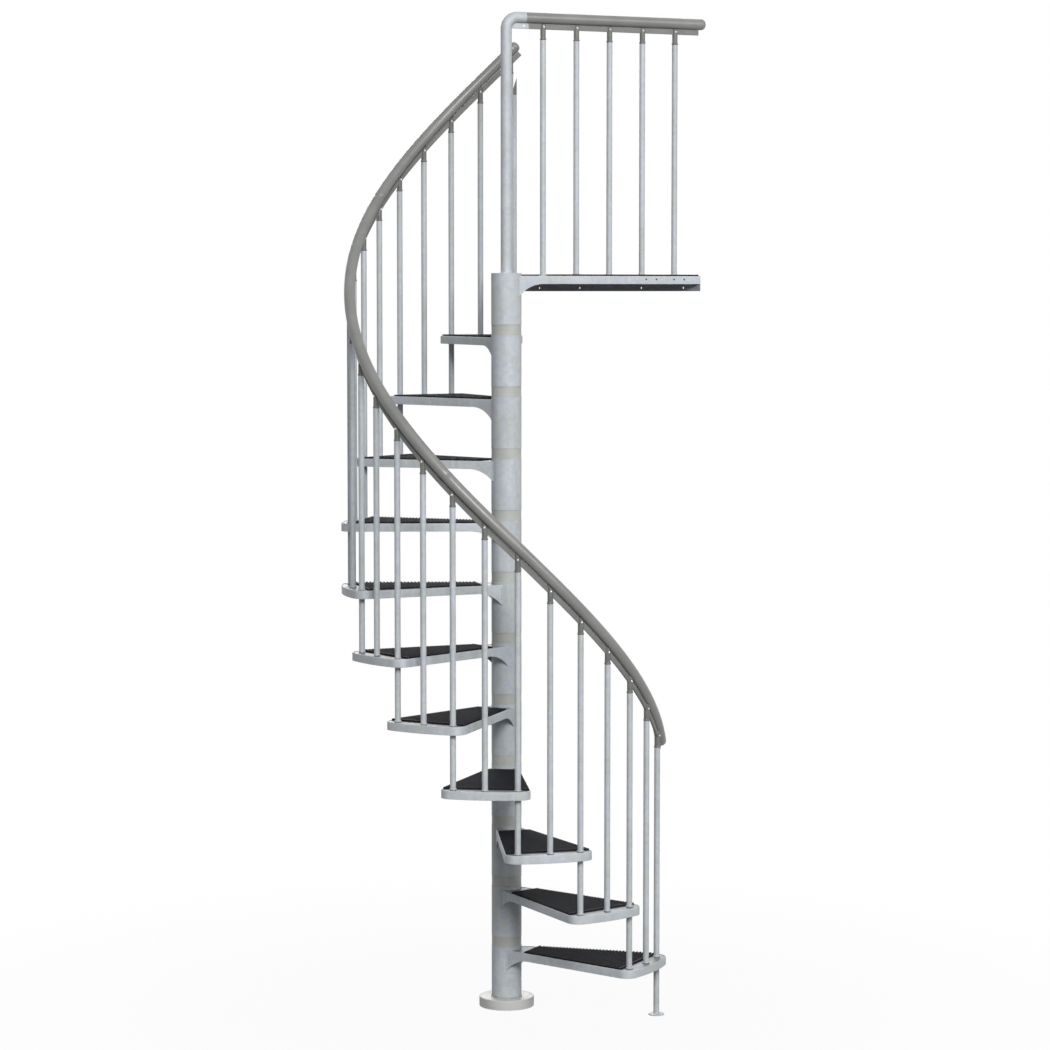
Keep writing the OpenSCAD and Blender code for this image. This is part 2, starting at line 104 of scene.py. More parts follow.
# Boards
BOARD_START = 0.107
BOARD_END = 0.560
BOARD_T = 0.020
BOARD_PROUD = 0.0055
BOARD_GAP = 0.001
BOARD_EDGE = 0.0012
BOARD_SHARP_ANGLE = 20
RIB_PITCH = 0.0128
RIB_DEPTH = 0.0070
RIB_CREST = RIB_PITCH / 4
RIB_SLOPE = 0.0009

# Landing
EXIT_DISTANCE = 0.665
FLANGE_T = 0.008
LANDING_OFFSET = 0.045
LANDING_BOARD_START = 0.160
LANDING_BOARDS = 4
FASCIA_SCREWS_AT = (0.568, 0.612, 0.688, 0.732)
FASCIA_SCREW_DROP = BAND_H * 0.42

# Balusters and fittings
BALUSTER_R = 0.590
BALUSTER_TUBE_R = 0.011
BALUSTER_WALL = 0.0015
BALUSTER_HOLLOW = 0.025
BUSH_R = 0.0136
BUSH_H = 0.0028
BUSH_ROUND = 0.0012
BUSH_GRIP = 0.0002
LANDING_FIRST = 0.152
LANDING_PITCH = 0.13975
LANDING_BALUSTERS = 5
FITTING_H = 0.060
FITTING_R = 0.0105
FITTING_EDGE = 0.0009
FITTING_RING_R = 0.0125
FITTING_RING_H = 0.007
FITTING_GAP = 0.0015
FITTING_SCREW_SUNK = 0.0012
CORNER_POST = (0.730, -0.010)
CORNER_POST_H = 0.712
CORNER_PLUG_H = 0.066
PLUG_BASE = 0.002
PLUG_EDGE = 0.0008
FOOT_R = 0.030
FOOT_ROUND = 0.002
COLLAR_T = 0.0035
COLLAR_ROUND = 0.0030
COLLAR_RAISED = 0.0005
COLLAR_SUNK = 0.001
FOOT_SCREWS = 3
FOOT_SCREW_CIRCLE = 0.0212
FOOT_SCREW_START = 0.5

# Handrail
RAIL_R = 0.021
RAIL_H = 0.991
LANDING_RAIL_H = 0.956
RAIL_START = math.radians(-7.2)
RAIL_END = 2 * STEPS * HALF_TURN + math.radians(1.4)
RAIL_LENGTHS = 3
RAIL_LENGTH_TURN = math.radians(102.1)
RAIL_STEP = math.radians(1.5)
RAIL_JOINT = 0.0006
RAIL_EDGE = 0.0005
RAIL_SLOPE = RISE / (2 * HALF_TURN)
CLIMB = math.atan2(RAIL_SLOPE, BALUSTER_R)
FIRST_RAIL_Z = RISE + RAIL_H - HALF_TURN * RAIL_SLOPE
LANDING_RAIL_Z = LANDING_Z + LANDING_RAIL_H
LANDING_RAIL_START = 0.077
LANDING_RAIL_END = 0.822
RAIL_CAP_LEN = 0.019
RAIL_CAP_LIP = 0.002
RAIL_CAP_FULLNESS = 0.8
BAR_H = 0.020
BAR_T = 0.008
BAR_EDGE = 0.0008
BAR_NECK_IN = 0.0026
BAR_NECK_H = 0.0035
BAR_GAP = 0.0005
BAR_DROP = RAIL_R + BAR_GAP + BAR_H / 2
LANDING_BAR_START = LANDING_RAIL_START + 0.014
LANDING_BAR_END = LANDING_RAIL_END - 0.010

# Newel
NEWEL_R = 0.02119
NEWEL_BEND_R = 0.044
TAB_SUNK = 0.001
TAB_SCREW_AT = LANDING_RAIL_START - 0.006

# Screw heads: radius and height, and their sockets as shares of those
FASCIA_HEAD = (0.0036, 0.0016)
TAB_HEAD = (0.0042, 0.0022)
FITTING_HEAD = (0.0044, 0.0032)
FOOT_HEAD = (0.0042, 0.0024)
SOCKET_R_SHARE = 0.45
SOCKET_RIM_SHARE = 0.86
SOCKET_FLOOR_SHARE = 0.35
DOME_STEP = math.radians(8)
DOME_SPANS = 6

# Tones of the finishes, in linear light: two that lie in patches, then flecks or scuffs
ZINC_TONES = ((0.55, 0.587, 0.630), (0.50, 0.535, 0.530), (0.62, 0.648, 0.680))
# Share of the zinc tones for the darker copy of the steel finish: painted shade for steel that lies
# in shadow
SHADED_ZINC = 0.45
BOARD_TONES = ((0.009, 0.010, 0.013), (0.019, 0.020, 0.025))
BOARD_FLECK = (0.034, 0.034, 0.038)
RAIL_TONES = ((0.198, 0.201, 0.189), (0.240, 0.243, 0.230))
RAIL_SPECK = (0.31, 0.31, 0.30)
BAR_TONES = ((0.165, 0.169, 0.161), (0.205, 0.209, 0.200))
FITTING_TONES = ((0.135, 0.139, 0.132), (0.175, 0.179, 0.171))
SPACER_TONES = ((0.455, 0.475, 0.455), (0.520, 0.535, 0.505))
COVER_TONES = ((0.560, 0.568, 0.545), (0.620, 0.628, 0.605))
COVER_SCUFF = (0.50, 0.505, 0.485)
# Dark tones taken from steel in deep shadow: painted shade, used on the fascia screws
PAINTED_SHADE_TONES = ((0.036, 0.038, 0.043), (0.050, 0.053, 0.060))
SCREW_TONES = ((0.60, 0.61, 0.60), (0.72, 0.72, 0.71))

# How finely curves are divided: sides round a shape, spans along it
COLUMN_SIDES = 96
COVER_SIDES = 128
FOOT_SIDES = 64
RAIL_SIDES = 48
PLUG_SIDES = 40
TUBE_SIDES = 32
SCREW_SIDES = 24
WELD_SIDES = 10
NEWEL_WELD_SPANS = 72
RIM_SPANS = 30
WELD_SPANS = 24
HUB_SPANS = 24
BEND_SPANS = 24
WEB_SPANS = 16
CORNER_SPANS = 14
CAP_SPANS = 12
RING_SPANS = 10

# Camera, lamps, sky and floor; a lamp's azimuth counts to the right of the camera's side
VIEW_AZIMUTH = math.radians(33.294)
CAMERA_AT = (6.4985, -9.7671, 2.7218)
CAMERA_PITCH = math.radians(4.279)
CAMERA_LENS = 106.41
CAMERA_SENSOR = 36
LAMP_DISTANCE = 16.0
LAMP_TARGET = Vector((0, 0, 1.9))
SKY_TINT = (0.97, 0.985, 1.0, 1)
SKY_RISES_FROM = -0.1
SKY_LOW = 0.10
SKY_HIGH = 0.28
WHITE = (1, 1, 1, 1)
FLOOR_R = 9.0
FLOOR_TOP = -0.0005
FLOOR_UNDER = -0.004
FLOOR_GREY = (0.15, 0.15, 0.15, 1)
FLOOR_ROUGH = 0.9
FLOOR_FADE_START = 0.5
FLOOR_FADE_END = 3.2
FLOOR_WHITE_NEAR = 0.955
FLOOR_WHITE_FAR = 1.0


# ------------------------ shapes

class Shape:
    """Closed solids collected into one mesh; each is placed by a matrix."""

    def __init__(self):
        self.verts = []
        self.faces = []

    def add(self, solid, place=Matrix.Identity(4)):
        verts, faces = solid
        first = len(self.verts)
        self.verts += [place @ Vector(v) for v in verts]
        self.faces += [[first + i for i in face] for face in faces]
        return self

    def piece(self, name, material, slot, nodes=(), sharp=35):
        """Makes the object, rides it on the staircase and hides the CAD nodes it stands for."""
        mesh = bpy.data.meshes.new(name)
        mesh.from_pydata(self.verts, [], self.faces)
        tidy = bmesh.new()
        tidy.from_mesh(mesh)
        bmesh.ops.recalc_face_normals(tidy, faces=tidy.faces)
        tidy.to_mesh(mesh)
        tidy.free()
        mesh.shade_smooth()
        mesh.set_sharp_from_angle(angle=math.radians(sharp))
        mesh.materials.append(material)
        piece = bpy.data.objects.new(name, mesh)
        bpy.context.scene.collection.objects.link(piece)
        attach(piece, "root")
        if nodes:
            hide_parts(*nodes)


def turned(angle, height=0.0):
    """Turn round the Z axis, raised to a height."""
    return Matrix.Translation((0, 0, height)) @ Matrix.Rotation(angle, 4, "Z")


def at(x, y, z):
    return Matrix.Translation((x, y, z))


def axes(along, across, up, origin):
    """Matrix that carries X, Y and Z to three directions at a point."""
    matrix = Matrix((along, across, up)).transposed().to_4x4()
    matrix.translation = origin
    return matrix


def around(sides):
    """Angles of equal turns round a full circle."""
    return [2 * math.pi * j / sides for j in range(sides)]


def along_x(solid):
    """Turns a solid that stands up along +Z so that it lies along +X."""
    verts, faces = solid
    return [(z, x, y) for x, y, z in verts], faces


def skin(rings, closed=False):
    """Solid through rings of points: with flat ends, or closed on itself."""
    count = len(rings[0])
    verts = [p for ring in rings for p in ring]
    spans = len(rings) if closed else len(rings) - 1
    faces = []
    for i in range(spans):
        a, b = i * count, (i + 1) % len(rings) * count
        faces += [[a + j, a + (j + 1) % count, b + (j + 1) % count, b + j] for j in range(count)]
    if not closed:
        faces.append(list(range(count))[::-1])
        faces.append([(len(rings) - 1) * count + j for j in range(count)])
    return verts, faces


def lathe(profile, sides):
    """Profile of (radius, height) points turned round Z; ends on the axis close to a point."""
    closed = profile[0][0] > 0 and profile[-1][0] > 0
    verts, starts = [], []
    for r, z in profile:
        starts.append(len(verts))
        if r == 0:
            verts.append((0, 0, z))
        else:
            verts += [(r * math.cos(a), r * math.sin(a), z) for a in around(sides)]
    pairs = list(zip(range(len(profile) - 1), range(1, len(profile))))
    if closed:
        pairs.append((len(profile) - 1, 0))
    faces = []
    for i, k in pairs:
        a, b = starts[i], starts[k]
        for j in range(sides):
            n = (j + 1) % sides
            low = [a] if profile[i][0] == 0 else [a + j, a + n]
            high = [b] if profile[k][0] == 0 else [b + n, b + j]
            if len(low) + len(high) > 2:
                faces.append(low + high)
    return verts, faces


def rounded(x, z, r, start, end, count=4):
    """Points on a quarter round with its centre at (x, z), between two angles in degrees."""
    turns = [math.radians(start + (end - start) * i / count) for i in range(count + 1)]
    return [(x + r * math.cos(a), z + r * math.sin(a)) for a in turns]


def bent_bar(path, radius):
    """Solid round bar along a path in the XZ plane."""
    rings = []
    side = Vector((0, 1, 0))
    for i, p in enumerate(path):
        back, on = path[max(i - 1, 0)], path[min(i + 1, len(path) - 1)]
        up = side.cross((on - back).normalized())
        rings.append([p + radius * (math.cos(a) * side + math.sin(a) * up)
                      for a in around(RAIL_SIDES)])
    return skin(rings)


def rounded_box(low, high, edge):
    """Box with its vertical edges and its top and bottom rims cut by a small chamfer."""
    (x0, y0, z0), (x1, y1, z1) = low, high

    def loop(inset, z):
        a, b, c, d = x0 + inset, x1 - inset, y0 + inset, y1 - inset
        e = edge
        return [Vector(p) for p in ((a + e, c, z), (b - e, c, z), (b, c + e, z), (b, d - e, z),
                                    (b - e, d, z), (a + e, d, z), (a, d - e, z), (a, c + e, z))]

    return skin([loop(edge, z0), loop(0, z0 + edge), loop(0, z1 - edge), loop(edge, z1)])


def slab(side_a, side_b, top, thickness):
    """Flat plate between two lines with as many points each."""
    low = top - thickness
    return skin([[Vector((ax, ay, low)), Vector((bx, by, low)),
                  Vector((bx, by, top)), Vector((ax, ay, top))]
                 for (ax, ay), (bx, by) in zip(side_a, side_b)])


def pan_head(radius, height):
    """Domed screw head on the XY plane, with a round socket in it."""
    socket, floor = radius * SOCKET_R_SHARE, height * SOCKET_FLOOR_SHARE
    turns = [DOME_STEP * i for i in range(1, DOME_SPANS + 1)]
    dome = [(radius * math.cos(a), height * math.sin(a)) for a in turns]
    return lathe([(0, 0), (radius, 0)] + dome +
                 [(socket, height * SOCKET_RIM_SHARE), (socket, floor), (0, floor)], SCREW_SIDES)


def head_on_side(head, side, x, surface, z):
    """Screw head on a face that looks along -Y or +Y, at a distance from the XZ plane."""
    place = axes(Vector((1, 0, 0)), Vector((0, 0, side)), Vector((0, -side, 0)),
                 (x, -side * surface, z))
    return pan_head(*head), place


# ------------------------ treads and landing steel

def side_line(offset, angle, s):
    """Point on a side line that passes the axis at offset, s along it from its nearest point."""
    return Vector((s * math.cos(angle) - offset * math.sin(angle),
                   s * math.sin(angle) + offset * math.cos(angle)))


def half_width(offset, angle, x):
    """Half the width between both side lines, at a distance x from the axis."""
    return (offset + x * math.sin(angle)) / math.cos(angle)


def meets_sleeve(offset, radius=SLEEVE_R):
    """How far along its side line a side plate meets a circle round the axis."""
    return math.sqrt(radius * radius - offset * offset)


def web_bottom(distance):
    """Height of a side plate's lower edge, at a distance out from the sleeve."""
    web_r = (WEB_LEN ** 2 + WEB_DROP ** 2) / (2 * WEB_DROP)
    left = max(WEB_LEN - max(distance, 0), 0)
    return BAND_TOP - BAND_H - web_r + math.sqrt(web_r ** 2 - left ** 2)


def band_sweep(path):
    """Steel band from (point, inward direction, lower height) stations, with a soft upper lip."""
    lip = rounded(BAND_LIP, BAND_TOP - BAND_LIP, BAND_LIP, 180, 90)
    rings = []
    for point, inward, bottom in path:
        section = [(EDGE, bottom), (0, bottom + EDGE)] + lip
        section += [(BAND_T - EDGE, BAND_TOP), (BAND_T, BAND_TOP - EDGE),
                    (BAND_T, bottom + EDGE), (BAND_T - EDGE, bottom)]
        rings.append([Vector((*(point + inward * inset), z)) for inset, z in section])
    return skin(rings)


def side_stations(offset, angle, end):
    """Stations along one side plate, from inside the sleeve's wall to a distance along it."""
    sleeve_s = meets_sleeve(offset)
    inward = Vector((math.sin(angle), -math.cos(angle)))
    marks = [meets_sleeve(offset, SLEEVE_MID_R)]
    marks += [sleeve_s + WEB_LEN * i / WEB_SPANS for i in range(WEB_SPANS + 1)] + [end]
    return [(side_line(offset, angle, s), inward, web_bottom(s - sleeve_s)) for s in marks]


def mirrored(stations):
    """The same stations on the other side of the X axis, in the opposite order."""
    flip = [(Vector((p.x, -p.y)), Vector((n.x, -n.y)), z) for p, n, z in stations]
    return flip[::-1]


def arc_stations(centre, radius, start, end, count):
    """Stations along an arc, facing its centre."""
    stations = []
    for i in range(count + 1):
        a = start + (end - start) * i / count
        out = Vector((math.cos(a), math.sin(a)))
        stations.append((centre + radius * out, -out, BAND_TOP - BAND_H))
    return stations


def tread_path():
    """Stations round a tread: side plate, rounded corner, outer rim, and back."""
    reach = TREAD_R - CORNER_R
    corner_angle = SIDE_ANGLE + math.asin((SIDE_OFFSET - CORNER_R) / reach)
    corner = reach * Vector((math.cos(corner_angle), math.sin(corner_angle)))
    end = corner.x * math.cos(SIDE_ANGLE) + corner.y * math.sin(SIDE_ANGLE)
    half = side_stations(SIDE_OFFSET, SIDE_ANGLE, end)[:-1]
    half += arc_stations(corner, CORNER_R, math.pi / 2 + SIDE_ANGLE, corner_angle, CORNER_SPANS)
    outer = arc_stations(Vector((0, 0)), TREAD_R, corner_angle, -corner_angle, RIM_SPANS)
    return half + outer[1:-1] + mirrored(half)


def hub_plate(offset, angle, end):
    """Plate between the sleeve and the first board, inside the side plates."""
    inner = offset - BAND_T
    edge_angle = angle + math.atan2(inner, meets_sleeve(inner))
    shares = [2 * i / HUB_SPANS - 1 for i in range(HUB_SPANS + 1)]
    near = [(SLEEVE_MID_R * math.cos(u * edge_angle), SLEEVE_MID_R * math.sin(u * edge_angle))
            for u in shares]
    far = [(end, u * half_width(inner, angle, end)) for u in shares]
    return slab(near, far, BAND_TOP - DECK_SUNK, DECK_T)


def rim_plate():
    """Plate at a tread's outer end, where the balusters pass through."""
    inside = [p + n * BAND_T for p, n, _ in tread_path()]
    edge = half_width(SIDE_OFFSET - BAND_T, SIDE_ANGLE, BOARD_END)
    start = BOARD_END + RIM_LEAST
    outer = [(start, edge)] + [(p.x, p.y) for p in inside if p.x > BOARD_END] + [(start, -edge)]
    last = len(outer) - 1
    inner = [(BOARD_END, edge - 2 * edge * i / last) for i in range(last + 1)]
    return slab(outer, inner, BAND_TOP - DECK_SUNK, DECK_T)


def cross_bar(offset, angle, x):
    """Flat bar under the boards, from side plate to side plate."""
    top = BAND_TOP + BOARD_PROUD - BOARD_T
    end = x + CROSS_BAR_W
    a = half_width(offset - BAND_T, angle, x)
    b = half_width(offset - BAND_T, angle, end)
    return slab([(x, -a), (x, a)], [(end, -b), (end, b)], top, CROSS_BAR_T)


def sleeve():
    """Length of column tube between two spacers, hanging down from Z = 0."""
    inner, rim, low = SLEEVE_R - SLEEVE_WALL, SLEEVE_RIM, SPACER_H - RISE
    return lathe([(inner + rim, low), (SLEEVE_R - rim, low), (SLEEVE_R, low + rim),
                  (SLEEVE_R, -rim), (SLEEVE_R - rim, 0), (inner + rim, 0),
                  (inner, -rim), (inner, low + rim)], COLUMN_SIDES)


def weld_bead(offset, angle, side, seed):
    """Uneven upright bead where a side plate meets the sleeve."""
    point = side_line(offset, angle, meets_sleeve(offset))
    low, high = web_bottom(0) + WELD_SHORT, BAND_TOP - WELD_SHORT
    rings = []
    for i in range(WELD_SPANS + 1):
        z = low + (high - low) * i / WELD_SPANS
        r = WELD_R + WELD_WAVER * noise.noise(Vector((seed, z * WELD_RIPPLE, 0)))
        if i in (0, WELD_SPANS):
            r *= WELD_END_SHARE
        centre = Vector((point.x, point.y * side, z))
        rings.append([centre + Vector((r * math.cos(a), r * math.sin(a), 0))
                      for a in around(WELD_SIDES)])
    return skin(rings)


def baluster_bush():
    """Thin plastic bush round a baluster, on top of the plate that it passes through."""
    inner = BALUSTER_TUBE_R - BUSH_GRIP
    top = rounded(BUSH_R - BUSH_ROUND, BUSH_H - BUSH_ROUND, BUSH_ROUND, 0, 90, count=3)
    return lathe([(inner, 0), (BUSH_R, 0)] + top + [(inner, BUSH_H)], TUBE_SIDES)


def tread_angle(k):
    """Direction of a tread's centre line, counted from 1 at the bottom."""
    return ENTRY_ANGLE + (LAST_BALUSTER - 2 * k) * HALF_TURN


def build_tread(k, steel, painted_shade_steel):
    """Sleeve, band, cross bars and welds as one piece, and the deck plates as another, in the
    darker zinc that paints the shade on them.
    """
    shape = Shape()
    place = turned(tread_angle(k), k * RISE)
    shape.add(sleeve(), place)
    shape.add(band_sweep(tread_path()), place)
    middle = (BOARD_START + BOARD_END - CROSS_BAR_W) / 2
    for x in (BOARD_START, middle, BOARD_END - CROSS_BAR_W):
        shape.add(cross_bar(SIDE_OFFSET, SIDE_ANGLE, x), place)
    for side in (-1, 1):
        seed = k * TREAD_WELD_SEED + side
        shape.add(weld_bead(SIDE_OFFSET, SIDE_ANGLE, side, seed), place)
    name = f"tread_carrier_{k:02d}"
    shape.piece(f"{name}_steel", steel, "galvanised_steel", [name])
    plates = Shape().add(hub_plate(SIDE_OFFSET, SIDE_ANGLE, BOARD_START), place)
    plates.add(rim_plate(), place)
    # The hub and rim plates take the darker zinc: painted shade
    plates.piece(f"{name}_deck_plates", painted_shade_steel, "galvanised_steel")


# ------------------------ boards

def rib_line(start, end):
    """Upper line of a ribbed board as (distance, depth) points, flat at both ends."""
    ribs = int((end - start - RIB_PITCH / 2) / RIB_PITCH)
    margin = (end - start - ribs * RIB_PITCH) / 2
    groove = RIB_PITCH - RIB_CREST
    line = [(start, -BOARD_EDGE), (start + BOARD_EDGE, 0)]
    for i in range(ribs):
        x = start + margin + i * RIB_PITCH + RIB_CREST / 2
        line += [(x, 0), (x + RIB_SLOPE, -RIB_DEPTH),
                 (x + groove - RIB_SLOPE, -RIB_DEPTH), (x + groove, 0)]
    return line + [(end - BOARD_EDGE, 0), (end, -BOARD_EDGE)]


def ribbed_board(start, end, offset, angle):
    """Board with ribs across it; its width follows the side plates beside it."""
    top = BAND_TOP + BOARD_PROUD
    inner = offset - BAND_T - BOARD_GAP
    start, end = start + BOARD_GAP, end - BOARD_GAP
    section = [(x, top + dz) for x, dz in rib_line(start, end)]
    section += [(end, top - BOARD_T), (start, top - BOARD_T)]
    return skin([[Vector((x, side * half_width(inner, angle, x), z)) for x, z in section]
                 for side in (-1, 1)])


def build_boards(board):
    for k in range(1, STEPS + 1):
        solid = ribbed_board(BOARD_START, BOARD_END, SIDE_OFFSET, SIDE_ANGLE)
        name = f"tread_board_{k:02d}"
        shape = Shape().add(solid, turned(tread_angle(k), k * RISE))
        shape.piece(f"{name}_ribbed", board, "ribbed_board", [name], BOARD_SHARP_ANGLE)
    shape = Shape()
    field_end = EXIT_DISTANCE - FLANGE_T - BOARD_GAP
    width = (field_end - LANDING_BOARD_START) / LANDING_BOARDS
    for i in range(LANDING_BOARDS):
        start = LANDING_BOARD_START + i * width
        shape.add(ribbed_board(start, start + width, LANDING_OFFSET, LANDING_HALF),
                  turned(math.pi / 2, LANDING_Z))
    shape.piece("landing_boards_ribbed", board, "ribbed_board", ["landing_deck_boards"],
                BOARD_SHARP_ANGLE)


# ------------------------ landing

def landing_path():
    """Stations round the landing, with mitred corners at the flange."""
    far = EXIT_DISTANCE - FLANGE_T
    corner_s = (far + LANDING_OFFSET * math.sin(LANDING_HALF)) / math.cos(LANDING_HALF)
    half = side_stations(LANDING_OFFSET, LANDING_HALF, corner_s)
    point, side_in, bottom = half[-1]
    far_in = Vector((-1, 0))
    half[-1] = (point, (side_in + far_in) / (1 + side_in.dot(far_in)), bottom)
    return half + mirrored(half)


def build_landing(steel):
    shape = Shape()
    place = turned(math.pi / 2, LANDING_Z)
    shape.add(sleeve(), place)
    shape.add(band_sweep(landing_path()), place)
    shape.add(hub_plate(LANDING_OFFSET, LANDING_HALF, LANDING_BOARD_START), place)
    field_end = EXIT_DISTANCE - FLANGE_T - BAND_T
    width = (field_end - LANDING_BOARD_START) / LANDING_BOARDS
    for i in range(LANDING_BOARDS + 1):
        joint = LANDING_BOARD_START + i * width
        x = min(joint - CROSS_BAR_W / 2, field_end - CROSS_BAR_W)
        shape.add(cross_bar(LANDING_OFFSET, LANDING_HALF, x), place)
    for side in (-1, 1):
        seed = LANDING_WELD_SEED + side
        shape.add(weld_bead(LANDING_OFFSET, LANDING_HALF, side, seed), place)
    shape.piece("landing_carrier_steel", steel, "galvanised_steel", ["landing_carrier"])


def build_fascia_screws(screw):
    shape = Shape()
    outward = Vector((math.sin(RAIL_SIDE_ANGLE), -math.cos(RAIL_SIDE_ANGLE), 0))
    along = Vector((math.cos(RAIL_SIDE_ANGLE), math.sin(RAIL_SIDE_ANGLE), 0))
    for distance in FASCIA_SCREWS_AT:
        origin = along * distance + outward * LANDING_OFFSET
        origin.z = LANDING_Z + BAND_TOP - FASCIA_SCREW_DROP
        place = axes(along, Vector((0, 0, 1)), outward, origin)
        shape.add(pan_head(*FASCIA_HEAD), place)
    shape.piece("landing_fascia_screws", screw, "galvanised_steel")


# ------------------------ column

def spacer_ring(low, high):
    """Plastic ring between two sleeves, with a lip at both ends and a slim waist."""
    inner, waist = SLEEVE_R - SLEEVE_WALL, SLEEVE_R - SPACER_WAIST
    return lathe([(inner, low), (SLEEVE_R - EDGE, low), (SLEEVE_R, low + EDGE),
                  (SLEEVE_R, low + SPACER_LIP), (waist, low + SPACER_LIP + EDGE),
                  (waist, high - SPACER_LIP - EDGE), (SLEEVE_R, high - SPACER_LIP),
                  (SLEEVE_R, high - EDGE), (SLEEVE_R - EDGE, high), (inner, high)],
                 COLUMN_SIDES)


def build_column(steel, spacer, cover):
    shape = Shape()
    for k in range(STEPS + 1):
        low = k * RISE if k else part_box("floor_plate")[1].z
        shape.add(spacer_ring(low, k * RISE + SPACER_H))
    shape.piece("column_spacers", spacer, "spacer_plastic", ["spacer_rings"])

    hole_r, under, wall_r = SLEEVE_R + COVER_HOLE_GAP, COVER_H - COVER_WALL, COVER_R - COVER_WALL
    profile = [(COVER_R - COVER_EDGE, 0), (COVER_R, COVER_EDGE)]
    profile += rounded(COVER_R - COVER_ROUND, COVER_H - COVER_ROUND, COVER_ROUND, 0, 90, count=8)
    profile += rounded(hole_r + COVER_HOLE_ROUND, COVER_H - COVER_HOLE_ROUND,
                       COVER_HOLE_ROUND, 90, 180)
    profile += [(hole_r, under), (wall_r - COVER_WALL, under),
                (wall_r, under - COVER_WALL), (wall_r, 0)]
    shape = Shape().add(lathe(profile, COVER_SIDES))
    shape.piece("column_foot_cover", cover, "cover_plastic", ["foot_cover"])

    cap_low, cap_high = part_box("column_cap")
    shape = Shape().add(lathe([(0, cap_low.z), (cap_high.x, cap_low.z),
                               (cap_high.x, LANDING_Z - CAP_RIM),
                               (cap_high.x - CAP_RIM, LANDING_Z), (0, LANDING_Z)], COLUMN_SIDES))
    shape.piece("column_cap_plate", steel, "galvanised_steel", ["column_cap"])


def newel_path():
    """Up from the column's top, round the bend and out to the landing rail."""
    bend_z = LANDING_RAIL_Z - NEWEL_BEND_R
    path = [Vector((0, 0, LANDING_Z)), Vector((0, 0, (LANDING_Z + bend_z) / 2))]
    for i in range(BEND_SPANS + 1):
        a = math.pi * (1 - i / (2 * BEND_SPANS))
        path.append(Vector((NEWEL_BEND_R + NEWEL_BEND_R * math.cos(a), 0,
                            bend_z + NEWEL_BEND_R * math.sin(a))))
    return path + [Vector((LANDING_RAIL_START, 0, LANDING_RAIL_Z))]


def newel_weld():
    """Uneven bead round the newel's foot."""
    rings = []
    for a in around(NEWEL_WELD_SPANS):
        spot = Vector((math.cos(a) * NEWEL_WELD_RIPPLE, math.sin(a) * NEWEL_WELD_RIPPLE,
                       NEWEL_WELD_SEED))
        r = NEWEL_WELD_R + NEWEL_WELD_WAVER * noise.noise(spot)
        out = Vector((math.cos(a), math.sin(a), 0))
        rings.append([out * (NEWEL_R + r * math.cos(b)) +
                      Vector((0, 0, LANDING_Z + r * math.sin(b))) for b in around(WELD_SIDES)])
    return skin(rings, closed=True)


def build_newel(steel, screw):
    place = turned(RAIL_SIDE_ANGLE)
    shape = Shape().add(bent_bar(newel_path(), NEWEL_R), place).add(newel_weld())
    shape.piece("newel_post_tube", steel, "galvanised_steel", ["newel_post"])

    tab_z = LANDING_RAIL_Z - BAR_DROP
    low = (NEWEL_R - TAB_SUNK, -BAR_T / 2, tab_z - BAR_H / 2)
    high = (LANDING_BAR_START, BAR_T / 2, tab_z + BAR_H / 2)
    shape = Shape().add(rounded_box(low, high, EDGE), place)
    shape.piece("newel_tab_plate", steel, "galvanised_steel", ["newel_tab"])
    shape = Shape()
    for side in (-1, 1):
        solid, head = head_on_side(TAB_HEAD, side, TAB_SCREW_AT, BAR_T / 2, tab_z)
        shape.add(solid, place @ head)
    shape.piece("newel_tab_screw", screw, "galvanised_steel")


# ------------------------ balusters, fittings

def baluster_angle(n):
    """Direction of a stair baluster, counted from 1 at the bottom."""
    return ENTRY_ANGLE + (LAST_BALUSTER - n) * HALF_TURN


def on_baluster_circle(n, z=0.0):
    return turned(baluster_angle(n)) @ at(BALUSTER_R, 0, z)


def baluster_tube(low, high):
    """Tube that is open at its foot, with softened ends."""
    r, hollow = BALUSTER_TUBE_R, BALUSTER_TUBE_R - BALUSTER_WALL
    return lathe([(0, low + BALUSTER_HOLLOW), (hollow, low + BALUSTER_HOLLOW),
                  (hollow, low + EDGE), (hollow + EDGE / 2, low), (r - EDGE, low),
                  (r, low + EDGE), (r, high - EDGE), (r - EDGE, high), (0, high)], TUBE_SIDES)


def fitting(slope):
    """Ringed plastic head of a baluster, cut along the rail; Z = 0 is the rail's centre."""
    low = -RAIL_R / math.cos(slope) - FITTING_H
    top = -(RAIL_R + FITTING_GAP) / math.cos(slope)
    bulge = FITTING_RING_R - FITTING_R
    half_ring = FITTING_RING_H / 2
    profile = [(0, low)]
    for i in range(RING_SPANS + 1):
        a = math.pi * i / RING_SPANS
        profile.append((FITTING_R + bulge * math.sin(a), low + half_ring * (1 - math.cos(a))))
    profile += [(FITTING_R, top - FITTING_EDGE), (FITTING_R - FITTING_EDGE, top), (0, top)]
    verts, faces = lathe(profile, TUBE_SIDES)
    rise = math.tan(slope)
    cut_low = top - 2 * FITTING_EDGE
    return [(x, y, z + (x * rise if z > cut_low else 0)) for x, y, z in verts], faces


def fitting_screws(slope):
    """Screw heads on both sides of a fitting, at the middle of the flat bar."""
    solids = Shape()
    for side in (-1, 1):
        solids.add(*head_on_side(FITTING_HEAD, side, 0, FITTING_R - FITTING_SCREW_SUNK,
                                 -BAR_DROP / math.cos(slope)))
    return solids.verts, solids.faces


